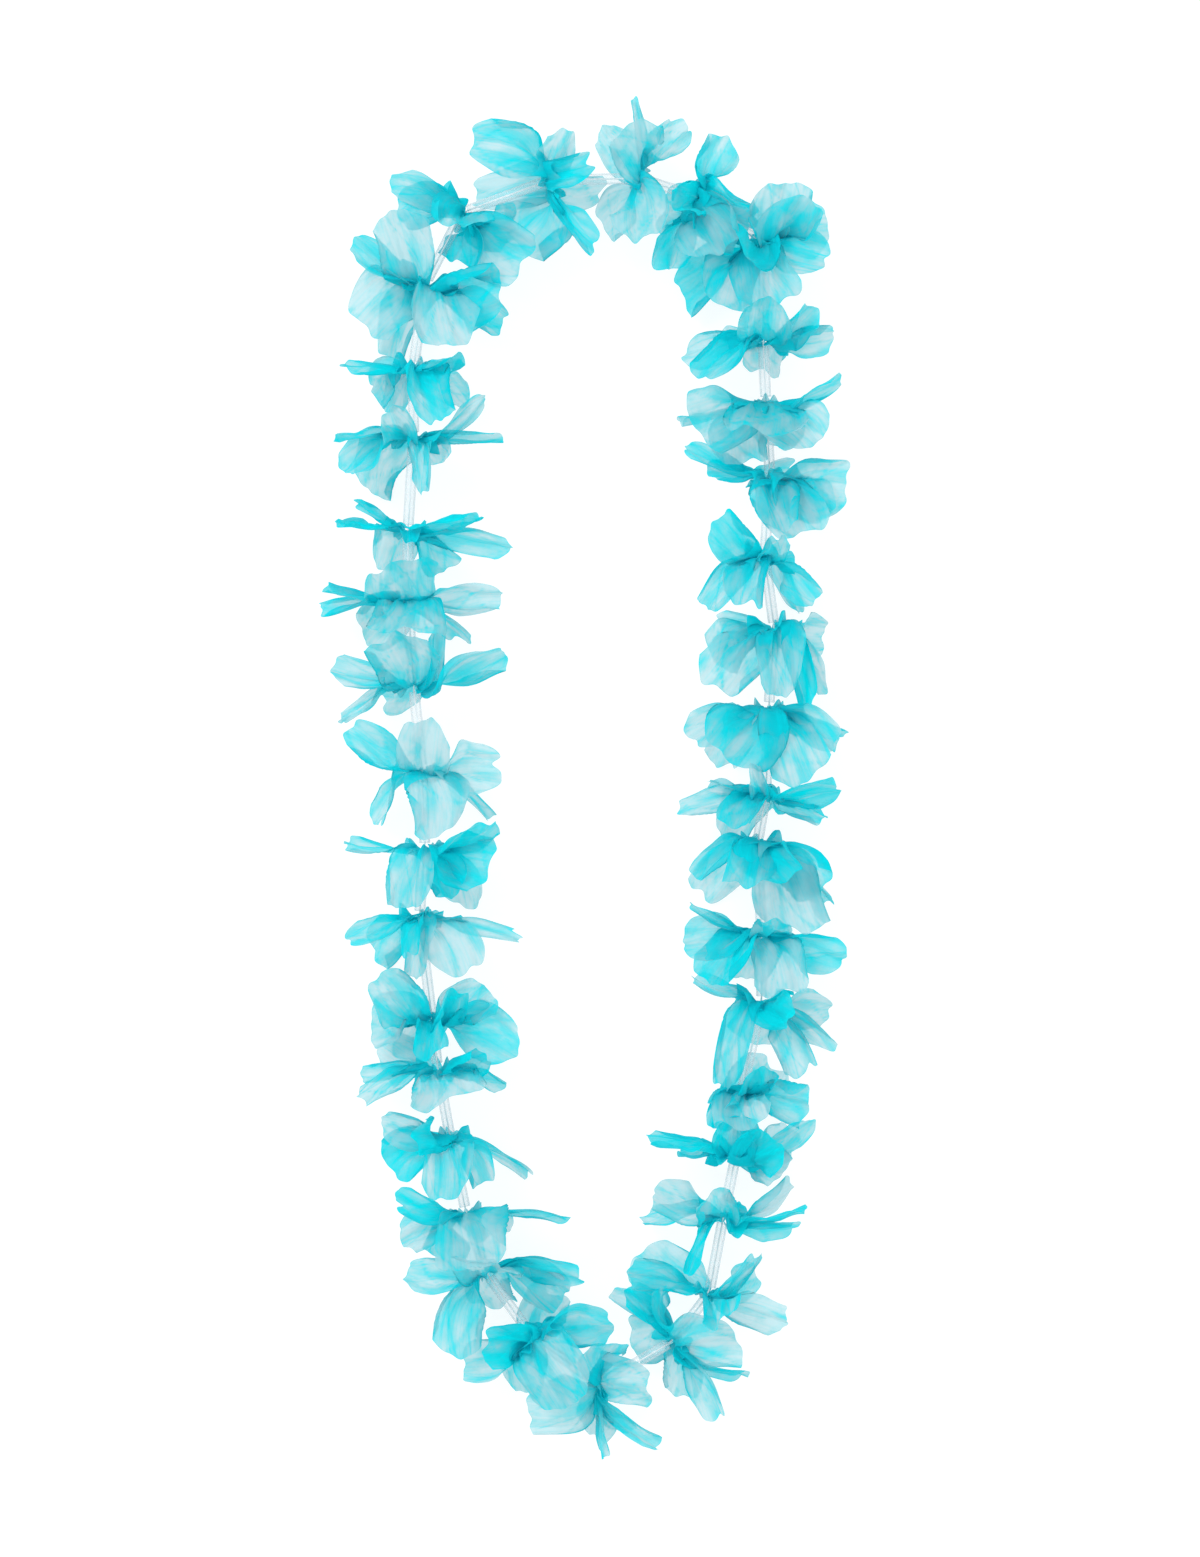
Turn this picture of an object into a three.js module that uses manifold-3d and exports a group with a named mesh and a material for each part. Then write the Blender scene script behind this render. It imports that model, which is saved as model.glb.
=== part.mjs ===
// A lei: thirty-six crinkled fabric flowers threaded on one closed string, held apart by clear
// straws. It lies flat on the floor plane, z = 0, with its long way along y. Lengths are in
// millimetres and angles in degrees.
import * as THREE from "three";
import Module from "manifold-3d";

// Petals. A petal is cut from stiff thin cloth; it is drawn thicker here so that it is a solid.
const PETAL_THICKNESS = 0.8;
const PETAL_ROOT_RADIUS = 2.6; // from the string's axis to the root
const PETAL_ROOT_HALF_WIDTH = 1;
const PETAL_LEAVES_SQUARE = 0.25; // share of its length for which it still heads straight out
const PETAL_TIP_HANDLE = 0.3;
const PETAL_SHOULDER = 0.28; // how much shorter the sides of a petal are than its middle
const PETAL_FULLNESS = 0.5; // how slowly a petal widens from its root; less is fuller
const ROLLED_FROM = 150; // a petal curled by more than this is a roll whose rim flares open
const PETAL_ROWS = [0, 0.35, 1];
const PETAL_COLUMNS = [-1, 0, 1];

// The collar in the middle of each flower, where the petals are gathered round the string.
const COLLAR_BORE_RADIUS = 1.5;
const COLLAR_RADIUS = 4; // in the loosest flower
const COLLAR_GROWS = 4; // how much wider it is in the fullest one
const COLLAR_THICKNESS = 1.4;

// Straws on the string. Two neighbours share one piece, joined by a thin sleeve inside the
// flower between them.
const STRAW_RADIUS = 1.95;
const STRAW_BORE_RADIUS = 1.5;
const STRAW_END_WALL = 0.8;
const STRAW_TO_FLOWER = 2.2; // from the middle of a flower to the end of the straw beside it
const SLEEVE_RADIUS = 1.2;
const SLEEVE_BORE_RADIUS = 0.8;
const STRAW_ROOM = 0.5; // from the straw's wall to the corners of the space that petals leave for it
const STRAW_SIDES = 8;

const ROUND_SIDES = 6; // of the collars, the string and that space

const STRING_RADIUS = 0.5;
const KNOT_RADIUS = 1;
const KNOT_LENGTH = 0.9;
const KNOT_SLOPE = 0.15; // length over which the string widens into the knot
const KNOT_PLACE = 1.45; // from the middle of the first flower to the middle of the knot
const GAP = 0.3; // kept clear between any two pieces

const TURQUOISE = 0x62cfda;
const CLEAR_PLASTIC = 0xe9eff3;
const WHITE_CORD = 0xf4f6f7;

// Every flower in order round the string: the middle of its collar, how much cloth is gathered
// there, from 0 to 1, and its petals, each as
//   [tip x, tip y, both from the middle of the collar; height of the tip above the floor;
//    width; turn of the blade about its spine, 0 when it faces up; curl across the blade].
const FLOWERS = [
  {
    hub: [-12, 210.5, 20],
    gathered: 0.6,
    petals: [
      [-27, 13, 30, 21, 5, 30],
      [-27, -4, 4, 16, 35, 0],
      [-10, -24, 14, 24, 5, 20],
      [15.5, -25, 37, 10, 20, 200],
      [7, 15, 43, 13, 25, 30],
      [18, -3, 0.5, 14, 20, 0],
      [15, 6, 38, 10, 30, 60],
    ],
  },
  {
    hub: [-43, 199, 20],
    gathered: 1,
    petals: [
      [-24, 8, 34, 16, 35, 20],
      [-22, -2, 26, 17, 25, 20],
      [22, -20, 34, 24, 5, 20],
      [-2, -18, 22, 18, 30, 20],
      [2, -8, 46, 22, 0, 60],
      [18, -5, 10, 20, 30, 0],
    ],
  },
  {
    hub: [-56, 173.5, 20],
    gathered: 1,
    petals: [
      [-11, 24, 36, 20, 0, 20],
      [-25, 15, 22, 17, 50, 20],
      [-23, -13, 18, 24, 0, 20],
      [27, -2, 32, 24, 10, 30],
      [10, -23, 38, 21, 0, 20],
      [28, -13, 14, 16, 20, 20],
      [-14, -23, 0.5, 15, 15, 20],
    ],
  },
  {
    hub: [-60, 144.5, 20],
    gathered: 0.6,
    petals: [
      [-25, 1, 24, 12, 70, 20],
      [-15, -9, 15, 20, 45, 20],
      [16, 3, 32, 15, 78, 20],
      [14, -13, 0.5, 18, 30, 20],
      [11, -20, 37, 16, 20, 60],
      [-7, -15, 6, 13, 20, 20],
    ],
  },
  {
    hub: [-60, 119.5, 20],
    gathered: 0.6,
    petals: [
      [-27, -2, 26, 18, 80, 30],
      [-25, -11, 18, 18, 30, 40],
      [-9, 9, 38, 12, 20, 20],
      [-17, -17, 0.5, 20, 15, 20],
      [31, -1, 22, 12, 82, 20],
      [25, 15, 31, 8, 40, 150],
      [3, -20, 32, 8, 30, 120],
      [8, -9, 20, 12, 30, 20],
    ],
  },
  {
    hub: [-62, 87, 20],
    gathered: 0.7,
    petals: [
      [-25, 2, 25, 15, 80, 40],
      [-18, 9, 38, 5, 40, 200],
      [25, 4, 33, 13, 80, 50],
      [36, -5, 20, 11, 40, 60],
      [-9, -13, 0.5, 18, 20, 0],
      [14, -14, 11, 14, 30, 40],
    ],
  },
  {
    hub: [-62, 62, 20],
    gathered: 0.15,
    petals: [
      [-29, 5, 24, 14, 72, 60],
      [-31, -2, 17, 14, 65, 40],
      [-17, -12, 0.5, 18, 30, 20],
      [-3, 13, 44, 27, 0, 30],
      [33, 1, 20, 15, 45, 30],
      [-3, -12, 46, 26, 0, 30],
      [21, -14, 12, 13, 50, 120],
    ],
  },
  {
    hub: [-60, 32.5, 20],
    gathered: 0.2,
    petals: [
      [-29, 3.5, 25, 15, 50, 40],
      [-8, 17, 42, 22, 0, 40],
      [9, 21, 33, 9, 30, 150],
      [32, 12, 28, 16, 40, 40],
      [-10, -4, 0.5, 12, 20, 20],
      [-25, -13, 13, 7, 45, 90],
    ],
  },
  {
    hub: [-57, 2.5, 20],
    gathered: 0.1,
    petals: [
      [-26, 14.5, 24, 13, 25, 60],
      [3, 18, 42, 18, 0, 0],
      [28, 0.5, 28, 19, 0, 20],
      [6, -23, 34, 21, 0, 20],
      [-17, -19, 9, 12, 50, 90],
      [24, -17, 0.5, 6, 40, 150],
    ],
  },
  {
    hub: [-56, -25, 20],
    gathered: 0.5,
    petals: [
      [-28, 3, 20, 10, 60, 40],
      [24, 9, 35, 16, 60, 60],
      [23, -6, 28, 22, 5, 40],
      [-6, -21, 32, 16, 25, 40],
      [14, -22, 0.5, 16, 20, 20],
      [10, -17, 21, 15, 30, 60],
    ],
  },
  {
    hub: [-58, -49, 20],
    gathered: 0.6,
    petals: [
      [-25, -8, 28, 10, 30, 60],
      [36, -7, 23, 7, 20, 60],
      [16, -19, 32, 19, 0, 20],
      [0, -21, 26, 13, 35, 30],
      [-3, -12, 42, 9, 40, 150],
      [-16, -14, 0.5, 15, 30, 60],
    ],
  },
  {
    hub: [-53.5, -85, 20],
    gathered: 0.7,
    petals: [
      [-19, 16, 33, 17, 10, 30],
      [-21, -2, 10, 18, 0, 20],
      [19, 12, 30, 18, 10, 30],
      [31, -9, 24, 21, 15, 40],
      [-1, -12, 41, 14, 30, 150],
      [8, 12, 41, 13, 40, 80],
      [-12, -14, 0.5, 18, 20, 20],
    ],
  },
  {
    hub: [-51.5, -102.5, 20],
    gathered: 0.6,
    petals: [
      [-26, -11, 30, 12, 50, 40],
      [-21, 6, 3, 19, 0, 20],
      [-27, -3, 14, 13, 50, 120],
      [23, -7, 10, 10, 50, 60],
      [17, 7, 33, 12, 40, 60],
      [4, -9, 44, 26, 0, 20],
    ],
  },
  {
    hub: [-47, -127, 20],
    gathered: 0.6,
    petals: [
      [-24, 6, 28, 11, 30, 20],
      [-22, -9, 22, 17, 10, 60],
      [0, -20, 41, 18, 0, 40],
      [13, -15, 25, 15, 30, 40],
      [28, -14.5, 0.5, 7, 40, 180],
      [-12, 1, 40, 13, 20, 30],
    ],
  },
  {
    hub: [-41.5, -153, 20],
    gathered: 0.2,
    petals: [
      [-25, 6, 33, 11, 30, 60],
      [36, -2, 21, 6, 60, 60],
      [-23, -9, 22, 17, 20, 30],
      [7, -17, 44, 27, 0, 30],
      [-9, -16, 18, 17, 20, 40],
      [13, -8, 0.5, 18, 30, 20],
    ],
  },
  {
    hub: [-34.5, -174, 20],
    gathered: 0.1,
    petals: [
      [-28, 1, 26, 14, 30, 30],
      [33, -3, 30, 12, 40, 40],
      [27, -10, 20, 16, 30, 30],
      [-10, -29, 26, 18, 5, 30],
      [5, -14, 0.5, 16, 20, 20],
      [3, 6, 46, 24, 0, 20],
    ],
  },
  {
    hub: [-18, -197, 20],
    gathered: 0.9,
    petals: [
      [-16, -1, 39, 16, 10, 40],
      [-25, -10, 14, 16, 25, 40],
      [28, 5.5, 30, 19, 35, 30],
      [14, -21, 39, 25, 0, 30],
      [6, 14, 0.5, 18, 20, 20],
      [-4, -20, 6, 18, 20, 20],
    ],
  },
  {
    hub: [5.5, -213.5, 20],
    gathered: 0.6,
    petals: [
      [-25, -8, 27, 19, 5, 20],
      [-3, -18, 8, 16, 20, 20],
      [1, -25, 27, 6, 40, 180],
      [21.5, -20.5, 24, 10, 40, 60],
      [11, -18, 0.5, 14, 40, 90],
      [17, 3, 37, 19, 5, 30],
      [4, 17, 34, 18, 30, 30],
    ],
  },
  {
    hub: [31.5, -198, 20],
    gathered: 0.6,
    petals: [
      [-15.5, 19, 27, 12, 30, 40],
      [-22, 15, 15, 12, 40, 100],
      [-14, -2, 0.5, 18, 20, 20],
      [2, -21, 8, 13, 20, 30],
      [22, 2, 34, 21, 0, 20],
      [15, -27, 24, 14, 40, 110],
      [26, -12.5, 18, 9, 45, 150],
      [-5.5, 20, 30, 10, 40, 60],
    ],
  },
  {
    hub: [44, -181.5, 20],
    gathered: 0.4,
    petals: [
      [-24, 12, 0.5, 19, 20, 30],
      [-28, 9, 30, 12, 35, 40],
      [17, 15, 33, 9, 40, 140],
      [17, 8, 9, 15, 45, 60],
      [27, -10, 24, 12, 20, 20],
      [3, -9, 44, 14, 20, 60],
    ],
  },
  {
    hub: [49, -154.5, 20],
    gathered: 1,
    petals: [
      [-25, 9, 32, 14, 35, 30],
      [-28, -2.5, 5, 10, 40, 120],
      [-6, 10, 42, 16, 20, 40],
      [29, 3, 25, 8, 70, 60],
      [24, 12, 16, 10, 40, 40],
      [27, -3, 12, 9, 60, 90],
      [-12, -19.5, 34, 6, 40, 220],
    ],
  },
  {
    hub: [53.5, -132.5, 20],
    gathered: 0.9,
    petals: [
      [-31, 6, 24, 18, 80, 30],
      [-20, 1, 10, 9, 62, 60],
      [27, 12, 29, 12, 45, 90],
      [14, 6, 41, 18, 10, 60],
      [22, 4, 0.5, 18, 20, 20],
      [17, -6, 18, 15, 15, 20],
      [3, 14, 40, 16, 10, 60],
    ],
  },
  {
    hub: [55.5, -110.5, 20],
    gathered: 0.5,
    petals: [
      [11, 9, 0.5, 20, 10, 20],
      [0, -11, 46, 19, 0, 30],
      [23, -4, 31, 16, 30, 40],
      [-10, -12, 29, 11, 10, 60],
      [-8, -6, 35, 10, 30, 60],
      [7, 8, 38, 12, 30, 60],
    ],
  },
  {
    hub: [62.5, -79, 20],
    gathered: 0.9,
    petals: [
      [10, -4, 42, 16, 10, 80],
      [-25, 8, 25, 8, 50, 50],
      [24, -4, 21, 16, 20, 40],
      [25, -15.5, 30, 11, 50, 60],
      [15, -25, 26, 13, 25, 40],
      [-2, -15, 0.5, 18, 15, 20],
      [-14, -29.5, 30, 12, 30, 60],
    ],
  },
  {
    hub: [62.5, -56, 20],
    gathered: 0.5,
    petals: [
      [-26.5, 11, 31, 5, 40, 180],
      [-28, -1, 28, 20, 20, 40],
      [29.5, -6, 27, 15, 35, 40],
      [-18, -17, 34, 18, 25, 60],
      [8.5, -19, 39, 19, 5, 20],
      [-4, -17, 4, 16, 10, 20],
      [3, 6, 44, 14, 10, 40],
    ],
  },
  {
    hub: [61, -23, 20],
    gathered: 0.6,
    petals: [
      [17, -31, 33, 24, 0, 20],
      [21, -18, 27, 18, 25, 40],
      [-21.5, -13, 23, 12, 40, 40],
      [-19, -19.5, 0.5, 17, 15, 20],
      [27, -21, 15, 10, 40, 120],
      [-4, -15, 44, 18, 5, 30],
      [8, -13, 43, 19, 5, 30],
    ],
  },
  {
    hub: [64, -6, 20],
    gathered: 0.6,
    petals: [
      [-20, 3, 22, 16, 80, 30],
      [-31, -4.5, 19, 11, 40, 40],
      [-6, 11, 43, 6, 20, 60],
      [25, 3, 30, 17, 58, 50],
      [21, -8, 17, 10, 45, 130],
      [-14, -17, 0.5, 16, 15, 20],
      [-11, -11, 36, 15, 40, 100],
    ],
  },
  {
    hub: [65, 24.5, 20],
    gathered: 0.4,
    petals: [
      [-27, -11, 32, 16, 15, 20],
      [-15, -16.5, 40, 28, 0, 30],
      [12, -26, 36, 22, 0, 30],
      [22, -14, 28, 13, 20, 20],
      [-17, -21, 0.5, 15, 15, 20],
      [27, -10, 10, 12, 50, 140],
    ],
  },
  {
    hub: [67, 52.5, 20],
    gathered: 0.9,
    petals: [
      [-20, 0, 0.5, 15, 15, 20],
      [-19, -13, 26, 17, 20, 30],
      [-21, -21, 32, 20, 0, 20],
      [3, -24, 35, 17, 5, 30],
      [12, -27, 30, 9, 30, 90],
      [18, -1, 8, 18, 15, 20],
      [16.5, -23, 19, 10, 40, 60],
    ],
  },
  {
    hub: [63.5, 78, 20],
    gathered: 1,
    petals: [
      [-17, 13, 33, 14, 5, 30],
      [-20.5, -18.5, 27, 12, 15, 40],
      [-7, -18, 35, 15, 10, 40],
      [18, -16, 28, 13, 25, 40],
      [12, -20, 0.5, 9, 40, 100],
      [5, 6, 44, 9, 30, 60],
    ],
  },
  {
    hub: [65.5, 105, 20],
    gathered: 0.6,
    petals: [
      [-31, 10.5, 28, 9, 40, 100],
      [-22, 1, 22, 12, 50, 60],
      [27, -3, 30, 21, 5, 20],
      [9, -20, 37, 22, 5, 20],
      [4, -18, 40, 15, 5, 20],
      [9, 3, 0.5, 13, 20, 20],
      [19, -14, 34, 18, 0, 30],
    ],
  },
  {
    hub: [64, 132, 20],
    gathered: 0.1,
    petals: [
      [-24, -12, 34, 24, 5, 20],
      [16, -15, 40, 23, 0, 30],
      [-31, -6, 19, 12, 82, 40],
      [26, 9, 26, 10, 45, 60],
      [-9, -22, 27, 20, 10, 20],
      [6, -15, 0.5, 18, 20, 20],
      [-3, -12, 46, 28, 0, 20],
    ],
  },
  {
    hub: [63, 154, 20],
    gathered: 0.7,
    petals: [
      [-22, -14, 27, 14, 25, 60],
      [-14, 5, 5, 14, 30, 20],
      [1, 13, 44, 18, 5, 40],
      [17, 11, 35, 13, 40, 110],
      [25, 3, 25, 13, 40, 40],
      [1, -10, 0.5, 14, 20, 20],
      [-28, -5, 15, 13, 30, 20],
    ],
  },
  {
    hub: [63.5, 187.5, 20],
    gathered: 1,
    petals: [
      [7, 21, 33, 22, 0, 20],
      [22, 10, 10, 21, 5, 20],
      [14, 14, 41, 18, 10, 30],
      [22, -6, 30, 19, 5, 30],
      [-18, -20, 34, 22, 0, 30],
      [-28, -16, 3, 19, 15, 30],
      [2, -23, 36, 22, 0, 30],
      [-8, -6, 46, 20, 0, 50],
    ],
  },
  {
    hub: [40, 204.5, 20],
    gathered: 0.6,
    petals: [
      [9, 20, 32, 13, 5, 40],
      [8, -21, 40, 22, 0, 30],
      [-11, -26, 25, 17, 45, 40],
      [22, -8, 25, 9, 50, 60],
      [16, -14, 30, 16, 10, 30],
      [-12, -5, 0.5, 17, 30, 20],
      [-8, -6, 42, 14, 10, 60],
    ],
  },
  {
    hub: [19.5, 211, 20],
    gathered: 0.2,
    petals: [
      [0, -24, 44, 20, 5, 20],
      [-3, 15, 46, 20, 0, 20],
      [-12, 20, 0.5, 17, 10, 20],
      [-2, 27, 29, 5, 40, 120],
      [16, 19, 27, 14, 30, 30],
      [-13, -16, 13, 18, 10, 20],
    ],
  },
];

const UP = new THREE.Vector3(0, 0, 1);
const wasm = await Module();
wasm.setup();

function radians(degrees) {
  return THREE.MathUtils.degToRad(degrees);
}

function alongOf(from, to) {
  return to.clone().sub(from).normalize();
}

// A closed solid from rings of points, ring after ring. Each ring is a loop. The last ring
// meets the first one again when `endless`, or else both end rings are closed off. The two
// halves of a ring are split along matching diagonals, so a thin twisted blade stays sound.
function solidOfRings(rings, endless) {
  const count = rings[0].length;
  const faces = [];
  const quad = (a, b, c, d) => faces.push(a, b, c, a, c, d);
  const last = endless ? rings.length : rings.length - 1;
  for (let i = 0; i < last; i++) {
    const here = i * count;
    const there = ((i + 1) % rings.length) * count;
    for (let k = 0; k < count; k++) {
      const next = (k + 1) % count;
      const corners = [here + k, here + next, there + next, there + k];
      if (k >= count / 2) corners.push(corners.shift());
      quad(...corners);
    }
  }
  if (!endless) {
    const end = (rings.length - 1) * count;
    for (let k = 0; k < count / 2 - 1; k++) {
      const far = count - 1 - k;
      quad(far, far - 1, k + 1, k);
      quad(end + k, end + k + 1, end + far - 1, end + far);
    }
  }
  const points = new Float32Array(rings.flat().flatMap((p) => p.toArray()));
  const mesh = { numProp: 3, vertProperties: points, triVerts: new Uint32Array(faces) };
  return new wasm.Manifold(new wasm.Mesh(mesh));
}

// A ring of points round `centre`, square to `along`.
function circle(centre, along, radius, sides = ROUND_SIDES) {
  const side = new THREE.Vector3().crossVectors(UP, along).normalize();
  const rise = new THREE.Vector3().crossVectors(along, side);
  return Array.from({ length: sides }, (_, k) => {
    const turn = (k / sides) * 2 * Math.PI;
    return centre
      .clone()
      .addScaledVector(side, radius * Math.cos(turn))
      .addScaledVector(rise, radius * Math.sin(turn));
  });
}

// A ring with a bore, `length` long, centred on `middle`.
function washer(middle, along, bore, radius, length) {
  const front = middle.clone().addScaledVector(along, length / 2);
  const back = middle.clone().addScaledVector(along, -length / 2);
  const rings = [
    circle(back, along, radius),
    circle(front, along, radius),
    circle(front, along, bore),
    circle(back, along, bore),
  ];
  return solidOfRings(rings, true);
}

function rod(from, to, radius) {
  const along = alongOf(from, to);
  const rings = [circle(from, along, radius), circle(to, along, radius)];
  return solidOfRings(rings, false);
}

// The string's route: straight inside each straw, and a straight hop through each flower.
const hubs = FLOWERS.map((flower) => new THREE.Vector3(...flower.hub));
const straws = hubs.map((hub, i) => {
  const next = hubs[(i + 1) % hubs.length];
  const along = alongOf(hub, next);
  return {
    start: hub.clone().addScaledVector(along, STRAW_TO_FLOWER),
    end: next.clone().addScaledVector(along, -STRAW_TO_FLOWER),
    along,
  };
});
const collars = hubs.map((_, i) => {
  const before = straws[(i + hubs.length - 1) % hubs.length].end;
  const after = straws[i].start;
  return {
    middle: before.clone().lerp(after, 0.5),
    along: alongOf(before, after),
  };
});

// The spine of a petal, from its root beside the string to its tip.
function spineOf(collar, hub, [x, y, height]) {
  const tip = new THREE.Vector3(hub.x + x, hub.y + y, height);
  const out = tip.clone().sub(collar.middle);
  out.addScaledVector(collar.along, -out.dot(collar.along)).normalize();
  const root = collar.middle.clone().addScaledVector(out, PETAL_ROOT_RADIUS);
  const span = root.distanceTo(tip);
  const outer = root.clone().addScaledVector(out, PETAL_LEAVES_SQUARE * span);
  const inner = tip.clone().addScaledVector(alongOf(tip, outer), PETAL_TIP_HANDLE * span);
  return { out, curve: new THREE.CubicBezierCurve3(root, outer, inner, tip) };
}

// The direction across the blade at the root, and at the tip where it has turned by `face`.
function widthsOf({ out, curve }, along, face) {
  const heading = curve.getTangent(0.85);
  const level = new THREE.Vector3().crossVectors(UP, heading).normalize();
  const steep = new THREE.Vector3().crossVectors(heading, level);
  const atTip = level.multiplyScalar(Math.cos(radians(face)));
  atTip.addScaledVector(steep, Math.sin(radians(face)));
  const atRoot = new THREE.Vector3().crossVectors(along, out);
  if (atRoot.dot(atTip) < 0) atRoot.negate();
  return { atRoot, atTip };
}

// One petal, `extra` millimetres bigger all round.
function petal(collar, hub, shape, extra) {
  const [, , , width, face, curl] = shape;
  const spine = spineOf(collar, hub, shape);
  const { atRoot, atTip } = widthsOf(spine, collar.along, face);
  const half = width / 2 + extra;
  const thick = PETAL_THICKNESS / 2 + extra;
  const rings = PETAL_ROWS.map((row) => {
    const under = [];
    const over = [];
    for (const column of PETAL_COLUMNS) {
      const s = row * (1 - PETAL_SHOULDER * Math.abs(column) ** 3);
      const centre = spine.curve.getPoint(s);
      const heading = spine.curve.getTangent(s);
      const turned = THREE.MathUtils.smoothstep(s * 1.5, 0, 1);
      const across = atRoot.clone().lerp(atTip, turned);
      across.addScaledVector(heading, -across.dot(heading)).normalize();
      const normal = new THREE.Vector3().crossVectors(heading, across);
      const opened = THREE.MathUtils.smoothstep(row, 0.65, 1);
      const flare = curl < ROLLED_FROM ? 1 : 1 - 0.6 * opened;
      const bend = radians(Math.max(curl, 1)) * flare;
      const radius = (2 * half) / bend;
      const widened = (1 - (1 - row) ** 2) ** PETAL_FULLNESS;
      const reach = (PETAL_ROOT_HALF_WIDTH + extra) * (1 - row) + half * widened;
      const angle = (column * reach) / radius;
      centre.addScaledVector(across, radius * Math.sin(angle));
      centre.addScaledVector(normal, radius * (1 - Math.cos(angle)));
      centre.z = Math.max(centre.z, PETAL_THICKNESS / 2);
      const facing = normal.multiplyScalar(Math.cos(angle));
      facing.addScaledVector(across, -Math.sin(angle));
      under.push(centre.clone().addScaledVector(facing, -thick));
      over.unshift(centre.clone().addScaledVector(facing, thick));
    }
    return [...under, ...over];
  });
  for (const point of rings.flat()) point.z = Math.max(point.z, 0);
  return solidOfRings(rings, false);
}

function joined(solids) {
  return solids.reduce((sum, solid) => sum.add(solid));
}

function largestBody(solid) {
  return solid.decompose().reduce((a, b) => (b.volume() > a.volume() ? b : a));
}

// A flower: its collar and its petals, `extra` millimetres bigger all round.
function flowerSolid(index, extra) {
  const collar = collars[index];
  const length = COLLAR_THICKNESS + 2 * extra;
  const { gathered, petals } = FLOWERS[index];
  const radius = COLLAR_RADIUS + COLLAR_GROWS * gathered + extra;
  const ring = washer(collar.middle, collar.along, COLLAR_BORE_RADIUS, radius, length);
  return joined([ring, ...petals.map((shape) => petal(collar, hubs[index], shape, extra))]);
}

// The direction halfway between two others, for a bend that both sides meet squarely.
function mitre(first, second) {
  return first.clone().add(second).normalize();
}

// Two straws and the sleeve between them. The profile runs out along the outside and back
// along the bore.
function strawPair(first, second) {
  const hop = alongOf(first.end, second.start);
  const entry = mitre(first.along, hop);
  const exit = mitre(hop, second.along);
  const innerEnd = first.end.clone().addScaledVector(first.along, -STRAW_END_WALL);
  const innerStart = second.start.clone().addScaledVector(second.along, STRAW_END_WALL);
  const hoop = (centre, along, radius) => circle(centre, along, radius, STRAW_SIDES);
  const rings = [
    hoop(first.start, first.along, STRAW_RADIUS),
    hoop(first.end, first.along, STRAW_RADIUS),
    hoop(first.end, entry, SLEEVE_RADIUS),
    hoop(second.start, exit, SLEEVE_RADIUS),
    hoop(second.start, second.along, STRAW_RADIUS),
    hoop(second.end, second.along, STRAW_RADIUS),
    hoop(second.end, second.along, STRAW_BORE_RADIUS),
    hoop(innerStart, second.along, STRAW_BORE_RADIUS),
    hoop(innerStart, second.along, SLEEVE_BORE_RADIUS),
    hoop(second.start, exit, SLEEVE_BORE_RADIUS),
    hoop(first.end, entry, SLEEVE_BORE_RADIUS),
    hoop(innerEnd, first.along, SLEEVE_BORE_RADIUS),
    hoop(innerEnd, first.along, STRAW_BORE_RADIUS),
    hoop(first.start, first.along, STRAW_BORE_RADIUS),
  ];
  return solidOfRings(rings, true);
}

// The string, one closed loop through everything. It begins at the knot, which sits between
// the first flower's collar and its straw.
function stringSolid() {
  const { middle, along: way } = collars[0];
  const knotHalf = KNOT_LENGTH / 2;
  const knot = [
    [-knotHalf - KNOT_SLOPE, STRING_RADIUS],
    [-knotHalf, KNOT_RADIUS],
    [knotHalf, KNOT_RADIUS],
    [knotHalf + KNOT_SLOPE, STRING_RADIUS],
  ].map(([offset, radius]) => {
    const place = middle.clone().addScaledVector(way, KNOT_PLACE + offset);
    return circle(place, way, radius);
  });
  const stations = straws.flatMap(({ start, end }) => [start, end]);
  const rings = stations.map((station, i) => {
    const before = stations[(i + stations.length - 1) % stations.length];
    const after = stations[(i + 1) % stations.length];
    const along = mitre(alongOf(before, station), alongOf(station, after));
    return circle(station, along, STRING_RADIUS);
  });
  return solidOfRings([...knot, ...rings], true);
}

const lei = new THREE.Group();

function addMesh(name, solid, color, roughness) {
  const { vertProperties, triVerts } = solid.getMesh();
  const geometry = new THREE.BufferGeometry();
  geometry.setAttribute("position", new THREE.BufferAttribute(vertProperties, 3));
  geometry.setIndex(new THREE.BufferAttribute(triVerts, 1));
  geometry.computeVertexNormals();
  const material = new THREE.MeshStandardMaterial({ color, roughness, metalness: 0 });
  const mesh = new THREE.Mesh(geometry, material);
  mesh.name = name;
  lei.add(mesh);
}

function numbered(name, index) {
  return `${name}_${String(index + 1).padStart(2, "0")}`;
}

// Where two flowers reach through each other, the later one round the string gives way.
const strawRoom = joined(
  straws.map(({ start, end, along }) => {
    const from = start.clone().addScaledVector(along, -GAP);
    const to = end.clone().addScaledVector(along, GAP);
    return rod(from, to, STRAW_RADIUS + STRAW_ROOM);
  }),
);
let taken = strawRoom;
FLOWERS.forEach((_, index) => {
  const solid = largestBody(flowerSolid(index, 0).subtract(taken));
  addMesh(numbered("flower", index), solid, TURQUOISE, 0.85);
  taken = taken.add(flowerSolid(index, GAP));
});

for (let i = 0; i < straws.length; i += 2) {
  const pair = strawPair(straws[i], straws[i + 1]);
  addMesh(numbered("spacer_tubes", i / 2), pair, CLEAR_PLASTIC, 0.3);
}

addMesh("string", stringSolid(), WHITE_CORD, 0.9);

export default lei;
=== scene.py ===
"""The looks of a lei: crinkled turquoise cloth flowers on a thread, held apart by clear straws.

Lengths in the tables and constants are millimetres, unless they say otherwise, and turn into
metres where a mesh is made. The axes are the frame's: x to the right, y along the lei, z up off
the floor. In a petal's formulas u runs from its root, 0, to its tip, 1, and v across it, from
-1 to 1.
"""

import math
import random

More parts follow.
